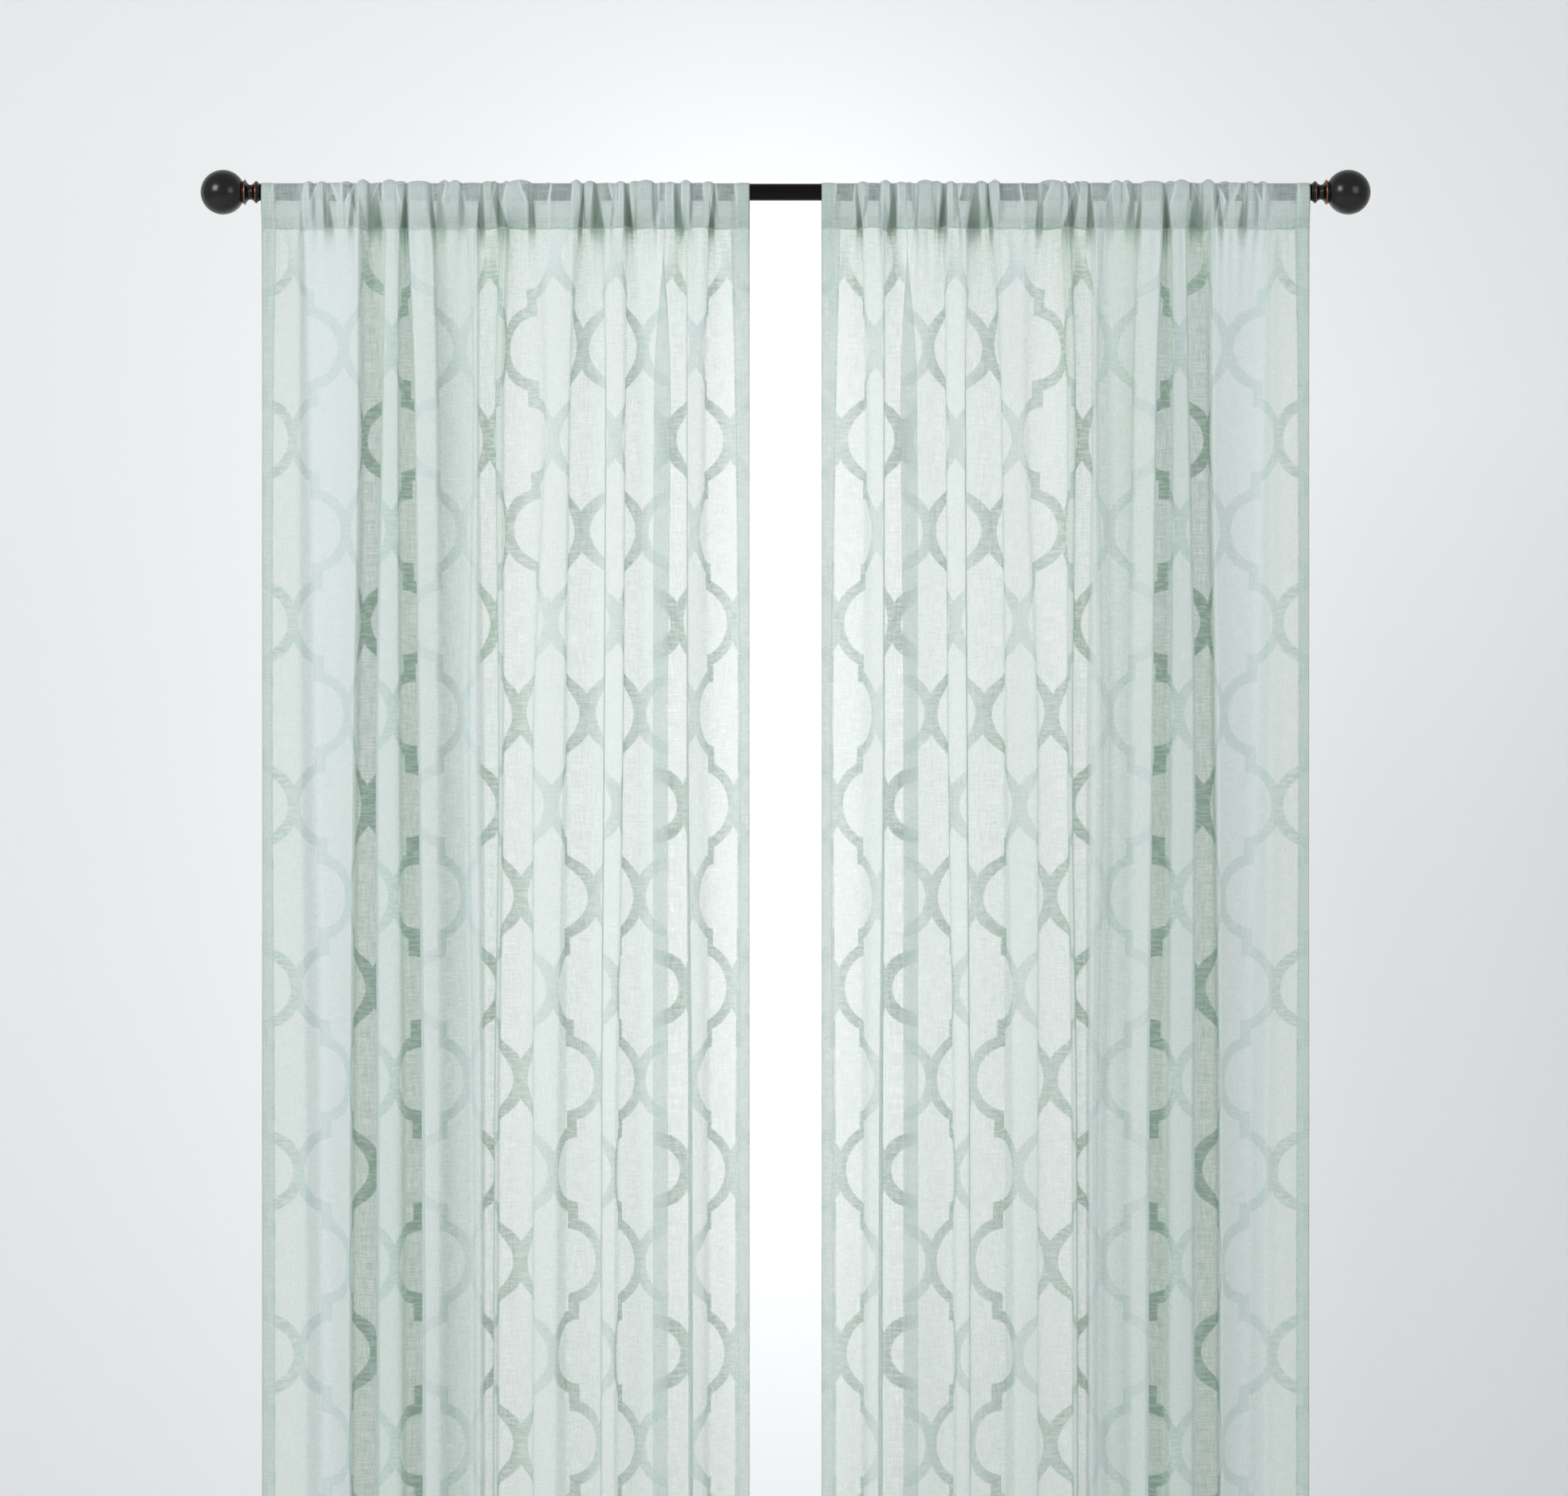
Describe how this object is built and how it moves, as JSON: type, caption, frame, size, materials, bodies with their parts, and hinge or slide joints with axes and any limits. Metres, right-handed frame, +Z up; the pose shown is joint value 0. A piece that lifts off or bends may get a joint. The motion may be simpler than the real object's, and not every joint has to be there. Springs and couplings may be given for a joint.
{
  "type": "sheer voile curtain pair on a rod",
  "caption": "Gathered sheer voile curtain panels with rod pockets, hanging in full-length folds from a straight round rod with turned ball finials.",
  "frame": {"origin": "middle of the rod, on its axis", "axes": "+X along the rod, to the right as seen from the room; +Y horizontal, from the room towards the wall; +Z up"},
  "size_m": [1.6138, 0.0816, 2.1508],
  "materials": {
    "voile": "sheer woven voile, matt, with a denser trellis woven in",
    "rod_metal": "dark bronze paint, satin, rubbed to copper on the finials' edges"
  },
  "bodies": {
    "root": {"rod": "rod_metal", "finial_left": "rod_metal", "finial_right": "rod_metal", "panel_left": "voile", "panel_right": "voile"}
  },
  "joints": []
}
